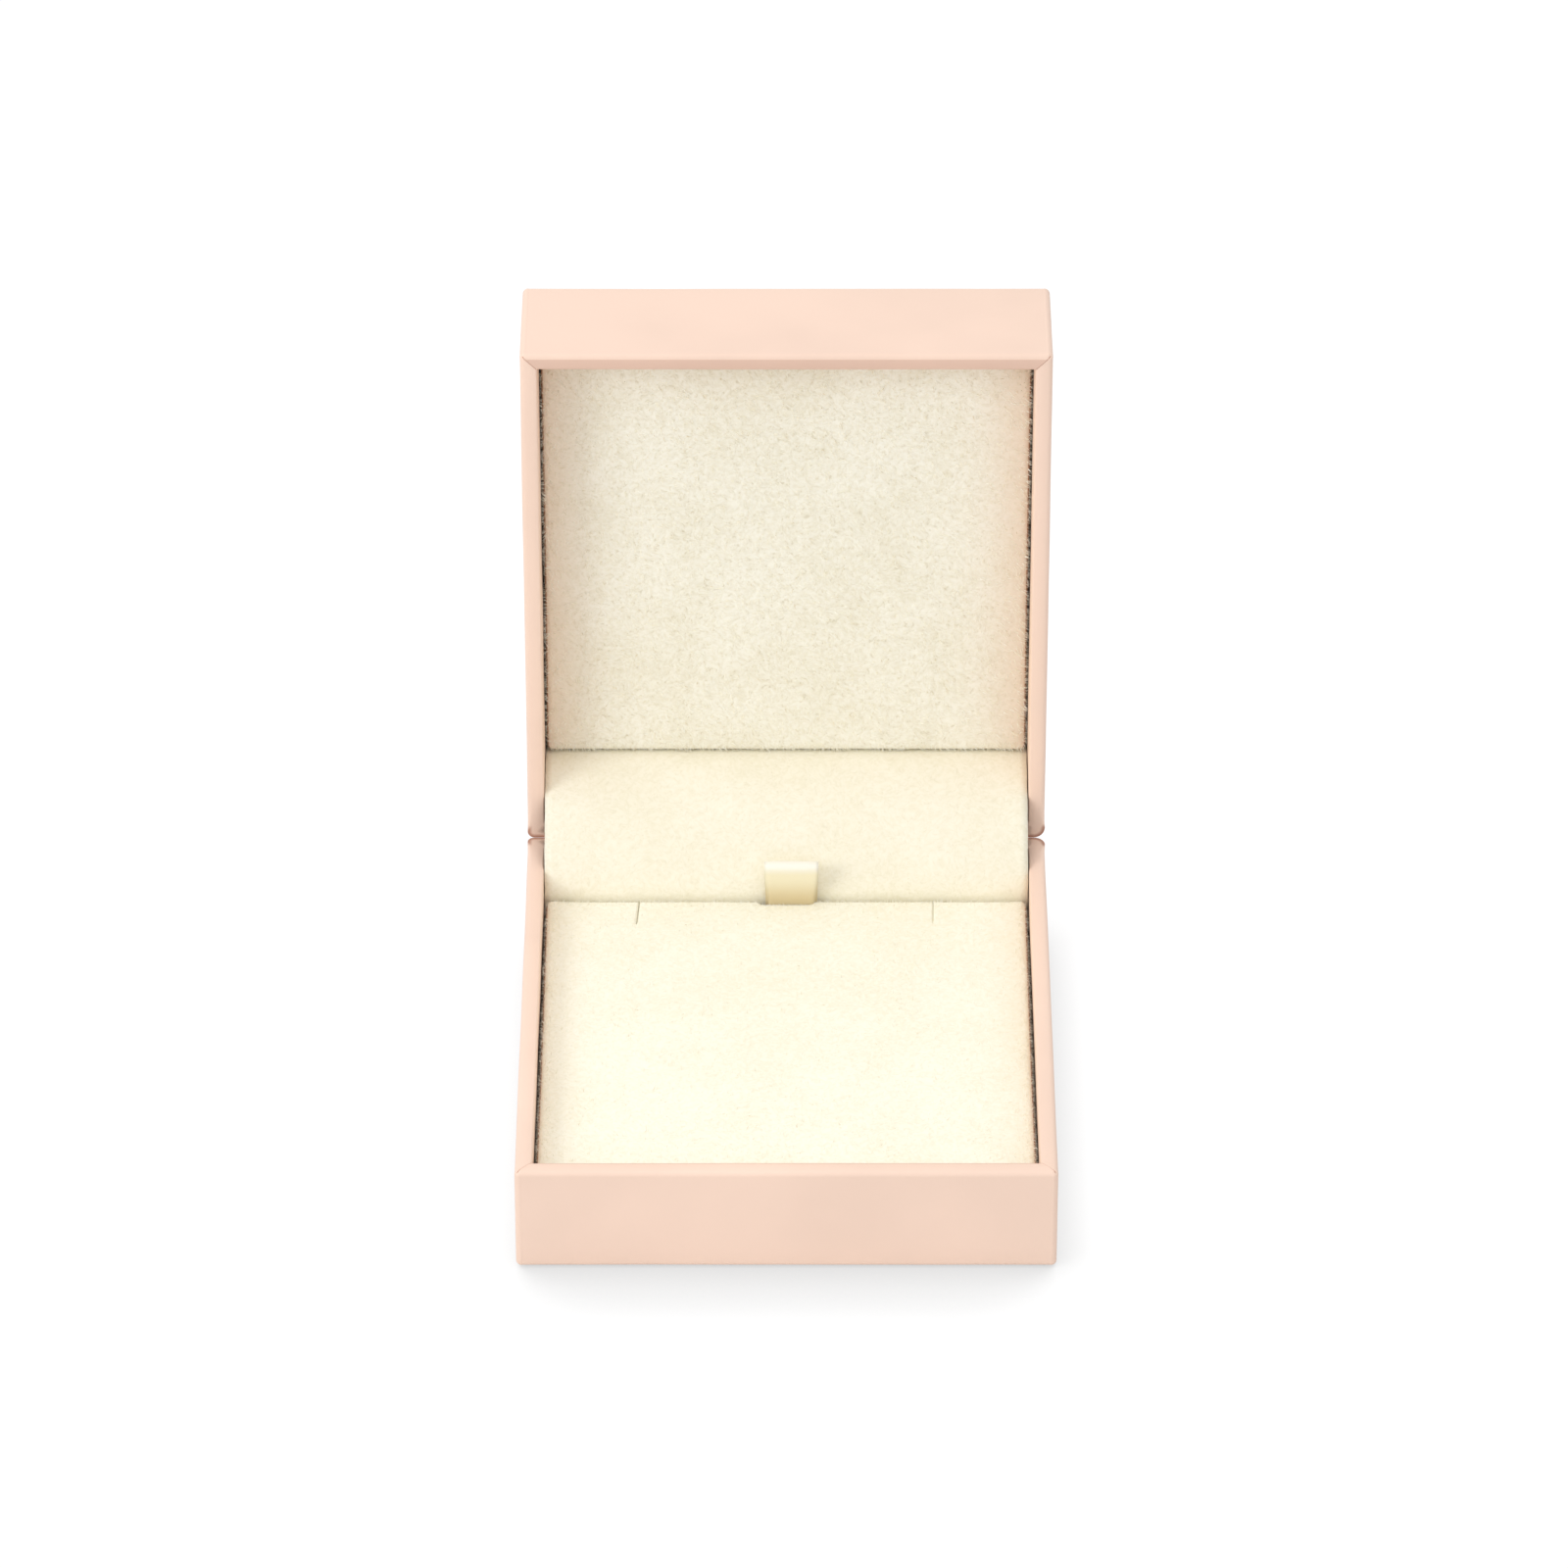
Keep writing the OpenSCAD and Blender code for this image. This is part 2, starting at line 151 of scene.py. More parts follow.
table_bounce = 0.74
table_shade = 0.09
table_glow = 0.955
table_side, table_drop = 6, 0.00005
opening_x, opening_y = 0.042, 0.045
front_facing, front_reach, front_shade = (0, 0.9, 0.43), 0.022, 0.21
front_shut, front_clear = 0.3, 0.82
contact_facing, contact_reach, contact_shade = (-0.6, -0.3, 0.74), 0.007, 0.22
table_top = bpy.data.meshes.new("table_top")
corners = [(-1, -1), (1, -1), (1, 1), (-1, 1)]
rings = [(table_side, table_side), (opening_x, opening_y)]
points = [(x * w, y * d, -table_drop) for w, d in rings for x, y in corners]
faces = [(i, (i + 1) % 4, 4 + (i + 1) % 4, 4 + i) for i in range(4)]
table_top.from_pydata(points, [], faces)
table = bpy.data.objects.new("table_top", table_top)
bpy.context.scene.collection.objects.link(table)
table_white = bpy.data.materials.new("table_white")
paint = empty_tree(table_white)
plain = paint.node("ShaderNodeBsdfDiffuse", (), {"Color": (table_bounce,) * 3})
shaded = paint.node("ShaderNodeBsdfDiffuse", (), {"Color": (table_shade,) * 3})


def openness(facing, reach):
    """How little stands within reach of the table, looking out towards facing."""
    way = paint.node("ShaderNodeCombineXYZ", (), dict(zip("XYZ", facing)))
    return paint.node("ShaderNodeAmbientOcclusion", (), {"Distance": reach, "Normal": way}, out=1)


# Painted shadow: ambient occlusion dims the glow that the camera sees, looking towards the box from in
# front and from its right.
front = openness(front_facing, front_reach).clamped(front_shut, front_clear)
contact = openness(contact_facing, contact_reach)
always = 1 - front_shade - contact_shade
strength = (front * front_shade + contact * contact_shade + always) * table_glow
glow = paint.node("ShaderNodeEmission", (), {"Color": (1, 1, 1), "Strength": strength})
bright = paint.node("ShaderNodeAddShader", (), {0: shaded, 1: glow})
eye = paint.node("ShaderNodeLightPath", out="Is Camera Ray")
top = paint.node("ShaderNodeMixShader", (), {0: eye, 1: plain, 2: bright})
under = paint.node("ShaderNodeNewGeometry", out="Backfacing")
clear = paint.node("ShaderNodeBsdfTransparent")
surface = paint.node("ShaderNodeMixShader", (), {0: under, 1: top, 2: clear})
paint.node("ShaderNodeOutputMaterial", (), {"Surface": surface})
table_top.materials.append(table_white)

lamps = [
    ("key_lamp", Vector((-0.82, -0.52, 0.58)), Vector((0, 0, 0.05)), 0.45, 3.4),
    ("low_lamp", Vector((0.06, -0.32, 0.04)), Vector((0, -0.05, 0.01)), 0.12, 0.07),
]
for name, place, aim, side, power in lamps:
    lamp = bpy.data.lights.new(name, "AREA")
    lamp.size, lamp.energy = side, power
    holder = bpy.data.objects.new(name, lamp)
    holder.location = place
    holder.rotation_euler = (aim - place).to_track_quat("-Z", "Y").to_euler()
    bpy.context.scene.collection.objects.link(holder)
bpy.context.scene.view_settings.view_transform = "Standard"


# ---- Trays ----
# Each half of the box is a tray moulded in plain white plastic. Only its cut edges
# beside the hinge are left bare by the leatherette.
MM = 0.001


def finish_principled(paint, material_sockets):
    """Ends a material in one shader and gives it to the output."""
    shader = paint.node("ShaderNodeBsdfPrincipled", (), material_sockets)
    paint.node("ShaderNodeOutputMaterial", (), {"Surface": shader})


def moulded_plastic():
    plastic = bpy.data.materials.new("moulded_plastic")
    paint = empty_tree(plastic)
    place = paint.node("ShaderNodeTexCoord", out="Object")
    matt = paint.node("ShaderNodeTexNoise", (), {"Vector": place, "Scale": 3000, "Detail": 3})
    cloud = paint.node("ShaderNodeTexNoise", (), {"Vector": place, "Scale": 90})
    skin = paint.node("ShaderNodeBump", (), {"Height": matt, "Strength": 0.25, "Distance": 0.05 * MM})
    colour = cloud.clamped(0.3, 0.7).blend(srgb(228, 224, 218), srgb(238, 235, 230))
    roughness = cloud * 0.15 + 0.42
    finish_principled(paint, {"Base Color": colour, "Roughness": roughness, "Normal": skin})
    return plastic


def refinish(node, material):
    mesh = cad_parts[node].data
    mesh.materials.clear()
    mesh.materials.append(material)


tray_plastic = moulded_plastic()
refinish("base_tray", tray_plastic)
refinish("lid_tray", tray_plastic)


# ---- Leatherette ----
# Pale pink leatherette is glued round each tray. Strips cover the walls and are
# folded over the rim with mitred corners, and the front strip laps round the edges.
box_w, box_d, base_h, lid_h = 90, 96, 19.7, 24
rim_wall, wrap_t = 2.9, 0.45
rim_r, lip_r, foot_r = 0.9, 0.4, 0.8
front_corner_r, right_hinge_r, left_hinge_r = 0.9, 1.9, 1.1
rim_crown, rim_fall = 0.06, 0.04
hinge_y, hinge_z, rim_gap, open_angle = 48, 20.1, 0.2, 93
hinge_room_x, hinge_room_drop = 41.85, 1.25
rim_z = 20
crease_deep, seam_deep, corner_proud = 0.13, 0.1, 0.03
lip_proud = {0.12: 0.035, 0.28: 0.02, 0.6: 0}  # by the distance from a front corner's fan
painted_rim_shade = 0.57
joint_sharp, joint_reach, joint_proud = 0.95, 5, 0.07
uneven_high, uneven_often = 0.05, 0.07


def at_base_rim():
    return Matrix.Translation((0, 0, rim_z))


def at_lid_rim():
    """The rim of the open lid, with the lid's depth along -Z."""
    hinge = Matrix.Translation((0, hinge_y, hinge_z))
    turn = hinge @ Matrix.Rotation(math.radians(-open_angle), 4, "X") @ hinge.inverted()
    return turn @ Matrix.Translation((0, 0, hinge_z + rim_gap / 2)) @ Matrix.Scale(-1, 4, (0, 0, 1))


def piece_from(name, points, faces, place=None, smooth_below=35):
    """A mesh object in metres from points in millimetres, smooth but for its edges."""
    mesh = bpy.data.meshes.new(name)
    mesh.from_pydata([tuple(p) for p in points], [], faces)
    if place is not None:
        mesh.transform(place)
        if place.is_negative:
            mesh.flip_normals()
    mesh.transform(Matrix.Scale(MM, 4))
    mesh.validate()
    mesh.shade_smooth()
    mesh.set_sharp_from_angle(angle=math.radians(smooth_below))
    piece = bpy.data.objects.new(name, mesh)
    bpy.context.scene.collection.objects.link(piece)
    return piece


def net_faces(lines, columns):
    """The faces of a net whose points are laid line by line."""
    corners = [line * columns + column for line in range(lines - 1) for column in range(columns - 1)]
    return [(a, a + 1, a + columns + 1, a + columns) for a in corners]


def rounded(centre, r, start, end, steps):
    angles = [math.radians(start + (end - start) * i / steps) for i in range(steps + 1)]
    return [(centre[0] + r * math.cos(a), centre[1] + r * math.sin(a)) for a in angles]


def wrap_rows(h, turn_in, under):
    """The strip's section as (distance in from the outer face, height from the rim)."""
    rows = [(u, -h) for u in np.linspace(under, foot_r, 7)[:-1]]
    rows += rounded((foot_r, -h + foot_r), foot_r, 270, 180, 6)
    rows += [(0, z) for z in np.linspace(-h + foot_r, -rim_r - 0.9, 9)[1:]]
    rows += [(0, -hinge_room_drop)]
    rows += rounded((rim_r, -rim_r), rim_r, 180, 90, 8)
    flat_in, flat_out = rim_wall - lip_r, rim_r
    for share in (0.2, 0.4, 0.64, 0.8):
        lift = rim_crown * math.sin(math.pi * share) - rim_fall * share * share
        rows.append((flat_out + (flat_in - flat_out) * share, lift))
    rows += rounded((flat_in, -lip_r - rim_fall), lip_r, 90, 0, 6)
    rows += [(rim_wall, z) for z in np.linspace(-lip_r - rim_fall, -turn_in, 6)[1:]]
    return rows


# A ring round the tray: each corner is a fan of points, and each wall has stations,
# given as distances from the fan or from the outer face of the wall before it.
FRONT, RIGHT, REAR, LEFT = range(4)
corner_r = [front_corner_r, front_corner_r, right_hinge_r, left_hinge_r]
fan_steps = 8
close_to_fan = list(lip_proud)
beside_hinge = [box_w / 2 - hinge_room_x, 3.5, 3.9]


def ring_spots():
    spots = []
    for wall in (FRONT, RIGHT, REAR, LEFT):
        length = box_w if wall in (FRONT, REAR) else box_d
        starts_in_front, ends_in_front = wall in (FRONT, RIGHT), wall in (LEFT, FRONT)
        spots += [(wall, "fan", step / fan_steps) for step in range(fan_steps + 1)]
        spots += [(wall, "from_fan" if starts_in_front else "from_face", d)
                  for d in (close_to_fan if starts_in_front else beside_hinge)]
        spots += [(wall, "from_face", d) for d in np.linspace(4.4, length - 4.4, 44)]
        spots += [(wall, "to_fan" if ends_in_front else "to_face", d)
                  for d in reversed(close_to_fan if ends_in_front else beside_hinge)]
    return spots


def ring_point(spot, u):
    """The place of a spot on the ring that lies u inside the outer faces."""
    wall, kind, d = spot
    half_w, half_d = box_w / 2, box_d / 2
    sign_x, sign_y = [(-1, -1), (1, -1), (1, 1), (-1, 1)][wall]
    low = max(u, corner_r[wall])
    if kind == "fan":
        a = math.radians(180 + 90 * (wall + d))
        out_x, out_y = (low - u) * math.cos(a), (low - u) * math.sin(a)
        return sign_x * (half_w - low) + out_x, sign_y * (half_d - low) + out_y
    length = box_w if wall in (FRONT, REAR) else box_d
    high = length - max(u, corner_r[(wall + 1) % 4])
    if kind.endswith("_fan") and u > rim_wall:
        d = 0  # further in, these stations would fold back over their neighbours
    along = {"from_fan": low + d, "to_fan": high - d, "from_face": d, "to_face": length - d}[kind]
    along = min(max(along, low), high)
    return [(-half_w + along, -half_d + u), (half_w - u, -half_d + along),
            (half_w - along, half_d - u), (-half_w + u, half_d - along)][wall]


def lift_and_painted_shade(spot, u, z, rim_shade_from):
    """How far the leatherette lies proud of its plain shape at a spot, and how much
    painted shade it takes: along the mitres on the rim and the laps beside the front
    edges, and on the front rim inwards from a given distance."""
    wall, kind, d = spot
    on_rim = min(max((z + 0.75 * rim_r) / (0.5 * rim_r), 0), 1) if u < rim_wall else 0
    on_face = min(max((-z - 0.4 * rim_r) / (0.5 * rim_r), 0), 1) if u < 0.5 * rim_r else 0
    # Along a mitre the rim dips and takes painted shade.
    if kind == "fan" and wall in (FRONT, RIGHT):
        on_line = 1 if u >= rim_r else max(0, 1 - abs(d - 0.5) * 4)
        return corner_proud * on_face - crease_deep * on_rim * on_line, on_rim * on_line
    # Painted shade on the front rim, inwards from a given distance.
    painted_shade_and_steel_lines = painted_rim_shade * on_rim if wall == FRONT and u > rim_shade_from else 0
    if kind in ("from_fan", "to_fan"):
        side_wall = wall in (RIGHT, LEFT)
        lip = lip_proud[d] * on_rim * (0.4 if side_wall else 1)
        # The lap seam beside a front edge takes painted shade.
        if side_wall and d == close_to_fan[0]:
            return lip - seam_deep * on_face, on_face
        return lip, painted_shade_and_steel_lines
    return 0, painted_shade_and_steel_lines


def joint_tightness(spot):
    """How sharp the rim's outer edge is, from 0 to 1, beside the hinge."""
    wall, kind, d = spot
    if wall == RIGHT and kind == "to_face" or wall == LEFT and kind == "from_face":
        return joint_sharp * max(0, 1 - d / joint_reach)
    at_hinge = wall == REAR or wall == LEFT and kind == "fan"
    return joint_sharp if at_hinge else 0


def is_bare(spot, u, z, h):
    """Where the hinge takes the leatherette's place."""
    wall, kind, d = spot
    last = kind == "to_face" and d == beside_hinge[0]
    if wall != REAR or kind == "fan" or last:
        return False
    return u > foot_r and z > 0.5 - h or z > -hinge_room_drop


def wrap(name, h, place, turn_in, under, rim_shade_from):
    """The leatherette of one half. Beside the hinge its rim is pulled nearly sharp, and
    painted shade darkens it there."""
    rows, spots = wrap_rows(h, turn_in, under), ring_spots()
    points, painted_shades = [], []
    for row, (u, z) in enumerate(rows):
        before, after = rows[max(row - 1, 0)], rows[min(row + 1, len(rows) - 1)]
        along = Vector((after[0] - before[0], after[1] - before[1])).normalized()
        for spot in spots:
            lift, fold = lift_and_painted_shade(spot, u, z, rim_shade_from)
            x, y = ring_point(spot, u)
            lift += uneven_high * noise.noise(Vector((x, y, z + h)) * uneven_often)
            on_edge = -rim_r <= z <= 0 and u <= rim_r
            keep = 1 - joint_tightness(spot) if on_edge else 1
            # Beside the hinge the nearly sharp rim edge takes full painted shade.
            if on_edge and joint_tightness(spot) == joint_sharp:
                lift, fold = joint_proud, 1
            x, y = ring_point(spot, u * keep - along.y * lift)
            points.append((x, y, z * keep + along.x * lift))
            painted_shades.append(fold)
    count, faces = len(spots), []
    for row in range(len(rows) - 1):
        u, z = ((a + b) / 2 for a, b in zip(rows[row], rows[row + 1]))
        for spot in range(count):
            if not is_bare(spots[spot], u, z, h):
                a, b = row * count + spot, row * count + (spot + 1) % count
                faces.append((a, b, b + count, a + count))
    piece = piece_from(name, points, faces, place)
    painted_shade_mark = piece.data.attributes.new("fold", "FLOAT", "POINT")
    painted_shade_mark.data.foreach_set("value", painted_shades)
    merged = bmesh.new()
    merged.from_mesh(piece.data)
    bmesh.ops.remove_doubles(merged, verts=merged.verts, dist=0.0005 * MM)
    loose = [v for v in merged.verts if not v.link_faces]
    bmesh.ops.delete(merged, geom=loose, context="VERTS")
    merged.to_mesh(piece.data)
    merged.free()
    backing = piece.modifiers.new("thickness", "SOLIDIFY")
    backing.thickness, backing.offset = wrap_t * MM, -1
    return piece


def leatherette(name, light, painted_shade_colour):
    """Smooth satin leatherette with a very fine grain. Painted shade darkens it where it is
    marked: along creases and seams, on the front rim and at the joint beside the hinge.
    """
    skin = bpy.data.materials.new(name)
    paint = empty_tree(skin)
    place = paint.node("ShaderNodeTexCoord", out="Object")
    cells = paint.node("ShaderNodeTexVoronoi", {"feature": "SMOOTH_F1"},
                       {"Vector": place, "Scale": 1900})
    pores = paint.node("ShaderNodeTexNoise", (), {"Vector": place, "Scale": 4200, "Detail": 2})
    ripple = paint.node("ShaderNodeTexNoise", (), {"Vector": place, "Scale": 55, "Detail": 2})
    patch = paint.node("ShaderNodeTexNoise", (), {"Vector": place, "Scale": 30, "Detail": 3})
    fold = paint.node("ShaderNodeAttribute", {"attribute_name": "fold"}, out="Fac")
    relief = cells * 0.6 + pores * 0.25 + ripple * 2.2
    grain = paint.node("ShaderNodeBump", (), {"Height": relief, "Strength": 0.3, "Distance": 0.06 * MM})
    dark = tuple(c * 0.95 for c in light)
    colour = patch.clamped(0.35, 0.65).blend(light, dark)
    # Painted shade: a dark pinkish brown, where the leatherette is marked.
    colour = fold.clamped(0.3, 0.95).blend(colour, painted_shade_colour)
    roughness = patch * 0.1 + cells * 0.12 + 0.36
    finish_principled(paint, {"Base Color": colour, "Roughness": roughness, "Normal": grain,
                              "Specular IOR Level": 0.4})
    return skin


# Its second colour is the painted shade.
pink_leatherette = leatherette("pink_leatherette", srgb(248, 218, 199), srgb(190, 140, 118))
base_wrap = wrap("base_leatherette", base_h, at_base_rim(), turn_in=7, under=10, rim_shade_from=2.2)
lid_wrap = wrap("lid_leatherette", lid_h, at_lid_rim(), turn_in=12, under=box_w / 2, rim_shade_from=0.8)
for piece, body, node in ((base_wrap, "base", "base_wrap"), (lid_wrap, "lid", "lid_wrap")):
    piece.data.materials.append(pink_leatherette)
    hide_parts(node)
    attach(piece, body)
refinish("base_bottom_sheet", pink_leatherette)


# ---- Card frames and backing boards ----
# Grey board, cut and folded. The frames are glued into the trays, and a board backs
# each pad.
def grey_board():
    board = bpy.data.materials.new("grey_board")
    paint = empty_tree(board)
    place = paint.node("ShaderNodeTexCoord", out="Object")
    pulp = paint.node("ShaderNodeTexNoise", (), {"Vector": place, "Scale": 1400, "Detail": 5})
    fleck = paint.node("ShaderNodeTexVoronoi", (), {"Vector": place, "Scale": 700})
    colour = pulp.clamped(0.35, 0.7).blend(srgb(168, 154, 138), srgb(196, 182, 164))
    colour = fleck.clamped(0.12, 0.0).blend(colour, srgb(126, 112, 98))
    felt = paint.node("ShaderNodeBump", (), {"Height": pulp, "Strength": 0.5, "Distance": 0.08 * MM})
    finish_principled(paint, {"Base Color": colour, "Roughness": 0.92, "Normal": felt})
    return board


board_grey = grey_board()
for node in ("insert_ledge", "insert_board", "lid_pad_frame", "lid_pad_board"):
    refinish(node, board_grey)


# ---- Foam ----
# A thin sheet of white foam lies on each board. The velvet is drawn over it, which
# gives the pads their soft edges.
def white_foam():
    foam = bpy.data.materials.new("white_foam")
    paint = empty_tree(foam)
    place = paint.node("ShaderNodeTexCoord", out="Object")
    cells = paint.node("ShaderNodeTexVoronoi", (), {"Vector": place, "Scale": 2600})
    colour = cells.clamped(0.1, 0.6).blend(srgb(214, 213, 208), srgb(240, 239, 235))
    pitted = paint.node("ShaderNodeBump", (), {"Height": cells, "Strength": 0.6, "Distance": 0.1 * MM})
    finish_principled(paint, {"Base Color": colour, "Roughness": 0.95, "Normal": pitted})
    return foam


foam_white = white_foam()
for node in ("insert_foam", "lid_pad_foam"):
    refinish(node, foam_white)


# ---- Velvet pads ----
# Cream short-pile velvet drawn over foam and board, its hem glued underneath. The
# one in the base lifts out, and has two chain slits and a notch for the ribbon.
insert_w, insert_rear = 83.5, 36
lid_pad_w, lid_pad_rear = 83.7, 36.15
pad_front, pad_t = -44.75, 4.8
insert_recess, lid_pad_recess = 4.4, 9
pad_r, hem_r, hem_w, hem_t = 1.1, 0.5, 9, 0.6
grid_step, near_edge = 1.25, (0.25, 0.7)
at_border, corner_lean = 0.3, 0.414
slit_at, slit_len, slit_w = 25.5, 7.5, 0.14
slit_half = 0.2
slits = ((-1, slit_w, 1.6), (1, 0.5 * slit_w, 0.9))  # side, width and depth of each
slit_slant = {-1: 0.05, 1: 0.02}
notch_w, notch_d, notch_reach = 9.6, 1.15, 3.4
uneven_top, bowed_side = 0.06, 0.12
edge_mark_w, edge_shade_reach = 1.2, 13


def velvet(name, light, dark, speck, speck_share):
    """Short pile that leans in patches, so that it is mottled and finely speckled. Painted
    shade makes it warmer near a pad's sides, and dark warm brown down them."""
    # Painted shade: a warm tint near a pad's sides, and a dark brown down them in the shaded gap beside
    # the wall.
    painted_shade_and_steel_lines, gap_shade = srgb(233, 217, 199), srgb(178, 140, 112)
    cloth = bpy.data.materials.new(name)
    paint = empty_tree(cloth)
    place = paint.node("ShaderNodeTexCoord", out="Object")
    sway = paint.node("ShaderNodeTexNoise", (), {"Vector": place, "Scale": 160, "Detail": 2}, out=1)
    swayed = paint.node("ShaderNodeVectorMath", {"operation": "MULTIPLY_ADD"},
                        {0: sway, 1: (0.004,) * 3, 2: place})
    tufts = paint.node("ShaderNodeTexNoise", (), {"Vector": swayed, "Scale": 1500, "Detail": 3,
                                                  "Roughness": 0.6, "Distortion": 0.6})
    strokes = paint.node("ShaderNodeTexNoise", (), {"Vector": swayed, "Scale": 700, "Detail": 2,
                                                    "Distortion": 1.6})
    lean = paint.node("ShaderNodeTexNoise", (), {"Vector": place, "Scale": 70, "Detail": 3})
    pile = tufts * 0.6 + strokes * 0.4
    shade = pile.clamped(0.38, 0.62) * 0.7 + lean.clamped(0.35, 0.65) * 0.3
    colour = shade.blend(dark, light)
    pits = tufts.clamped(0.40, 0.31) * speck_share
    colour = pits.blend(colour, speck)
    tight = paint.node("ShaderNodeAttribute", {"attribute_name": "tight"}, out="Fac")
    colour = tight.blend(colour, painted_shade_and_steel_lines)
    colour = tight.clamped(0.85, 1).blend(colour, gap_shade)
    nap = paint.node("ShaderNodeBump", (), {"Height": pile, "Strength": 0.55, "Distance": 0.22 * MM})
    finish_principled(paint, {"Base Color": colour, "Roughness": 0.95, "Normal": nap,
                              "Sheen Weight": 0.12, "Sheen Roughness": 0.45,
                              "Specular IOR Level": 0.15})
    return cloth


def spread(low, high, step, extra):
    """Evenly spaced places from low to high, with those in extra put between them."""
    even = list(np.linspace(low, high, round((high - low) / step) + 1))
    kept = [v for v in even if all(abs(v - e) > 0.25 * step for e in extra)]
    return sorted(kept + [e for e in extra if low < e < high] + ([] if low in kept else [low])
                  + ([] if high in kept else [high]))


def pressed_out(points, faces):
    """How far the cover swells over its foam at each point, by a cloth simulation of
    it six times as large, with its hem glued down and a pressure under it."""
    times, up_most, side_most, steps = 6, 0.3, 0.07, 20
    mesh = bpy.data.meshes.new("cover")
    mesh.from_pydata([Vector(p) * MM * times for p in points], [], faces)
    cover = bpy.data.objects.new("cover", mesh)
    bpy.context.scene.collection.objects.link(cover)
    glued = cover.vertex_groups.new(name="glued")
    glued.add([i for i, p in enumerate(points) if p[2] < 0.4 - pad_t], 1, "REPLACE")
    cloth = cover.modifiers.new("cloth", "CLOTH")
    cloth.settings.quality = 4
    cloth.settings.use_pressure = True
    cloth.settings.uniform_pressure_force = 4
    cloth.settings.vertex_group_mass = "glued"
    cloth.settings.effector_weights.gravity = 0
    cloth.point_cache.frame_start, cloth.point_cache.frame_end = 1, steps
    for step in range(1, steps + 1):
        bpy.context.scene.frame_set(step)
    swollen = cover.evaluated_get(bpy.context.evaluated_depsgraph_get()).data
    swells = []
    for vertex, point in zip(swollen.vertices, points):
        moved = vertex.co / (MM * times) - Vector(point)
        side = Vector((moved.x, moved.y, 0))
        side *= side_most * math.tanh(side.length) / max(side.length, 1e-6)
        swells.append(Vector((side.x, side.y, up_most * math.tanh(moved.z / 2))))
    bpy.data.objects.remove(cover)
    bpy.context.scene.frame_set(1)
    return swells


def flat_top(pad_w, rear):
    """Half the width and half the length of a pad's flat top, and its middle in y."""
    low_y, high_y = pad_front + pad_r, rear - pad_r
    return pad_w / 2 - pad_r, (high_y - low_y) / 2, (pad_front + rear) / 2


def grid_border(columns, lines):
    """The outer places of a grid as (column, line), once round it."""
    border = [(i, 0) for i in range(columns)] + [(columns - 1, j) for j in range(1, lines)]
    border += [(i, lines - 1) for i in range(columns - 2, -1, -1)]
    return border + [(0, j) for j in range(lines - 2, 0, -1)]


def grid_lines(pad_w, rear, has_cuts):
    """Where the lines of the top's grid run, closer at its edges and at its cuts."""
    half_w, half_y, middle = flat_top(pad_w, rear)
    low_y, high_y = pad_front + pad_r, rear - pad_r
    extra_x = [(half_w - near) * side for side in (-1, 1) for near in near_edge]
    extra_y = [low_y + near for near in near_edge] + [high_y - near for near in near_edge]
    if has_cuts:
        extra_x += [s * (slit_at + d) for s in (-1, 1) for d in (-0.45, -0.15, 0, 0.15, 0.45)]
        extra_x += [s * (notch_w / 2 + d) for s in (-1, 1) for d in (-0.3, 0.1, 0.5)]
        extra_y += [rear - slit_len, rear - slit_len + 0.3]
    return spread(-half_w, half_w, grid_step, extra_x), spread(low_y, high_y, grid_step, extra_y)


def cover_net(pad_w, rear, has_cuts):
    """A cover's points and faces: flat on top, rolled over the edges, down the sides,
    and turned in as a hem round the floor that closes it underneath."""
    half_w, half_y, middle = flat_top(pad_w, rear)
    xs, ys = grid_lines(pad_w, rear, has_cuts)
    columns, lines = len(xs), len(ys)
    points = [(x, y, 0.0) for y in ys for x in xs]
    faces = net_faces(lines, columns)

    border, ways = grid_border(columns, lines), []
    for i, j in border:
        x, y = xs[i], ys[j]
        way_x = float(x > half_w - at_border) - float(x < -half_w + at_border)
        way_y = float(y > ys[-1] - at_border) - float(y < ys[0] + at_border)
        lean_x = 1 if i in (0, columns - 1) else corner_lean
        lean_y = 1 if j in (0, lines - 1) else corner_lean
        ways.append(Vector((way_x * lean_x, way_y * lean_y)).normalized())

    def drawn_in(i, j, out):
        return xs[i] * (1 + out / half_w), middle + (ys[j] - middle) * (1 + out / half_y)

    section = rounded((0, -pad_r), pad_r, 90, 0, 5)[1:]
    section += [(pad_r, -pad_t * share) for share in (0.4, 0.6, 0.78)]
    section += rounded((pad_r - hem_r, -pad_t + hem_r), hem_r, 0, -90, 3)
    section += [(pad_r - 2.5, -pad_t), (pad_r - 5.5, -pad_t), (pad_r - hem_w, -pad_t)]
    section += [(pad_r - hem_w - 0.1, -pad_t + hem_t + 0.4)]
    ring = [j * columns + i for i, j in border]
    for out, z in section:
        first = len(points)
        for (i, j), way in zip(border, ways):
            spot = Vector((xs[i], ys[j])) + way * out if out >= 0 else Vector(drawn_in(i, j, out))
            points.append((spot.x, spot.y, z))
        new = list(range(first, len(points)))
        for k in range(len(ring)):
            n = (k + 1) % len(ring)
            faces.append((ring[k], new[k], new[n], ring[n]))
        ring = new

    floor = dict(zip(border, ring))
    for j in range(1, lines - 1):
        for i in range(1, columns - 1):
            floor[i, j] = len(points)
            points.append((*drawn_in(i, j, out), z))
    faces += [(floor[i, j], floor[i, j + 1], floor[i + 1, j + 1], floor[i + 1, j])
              for j in range(lines - 1) for i in range(columns - 1)]
    return points, faces


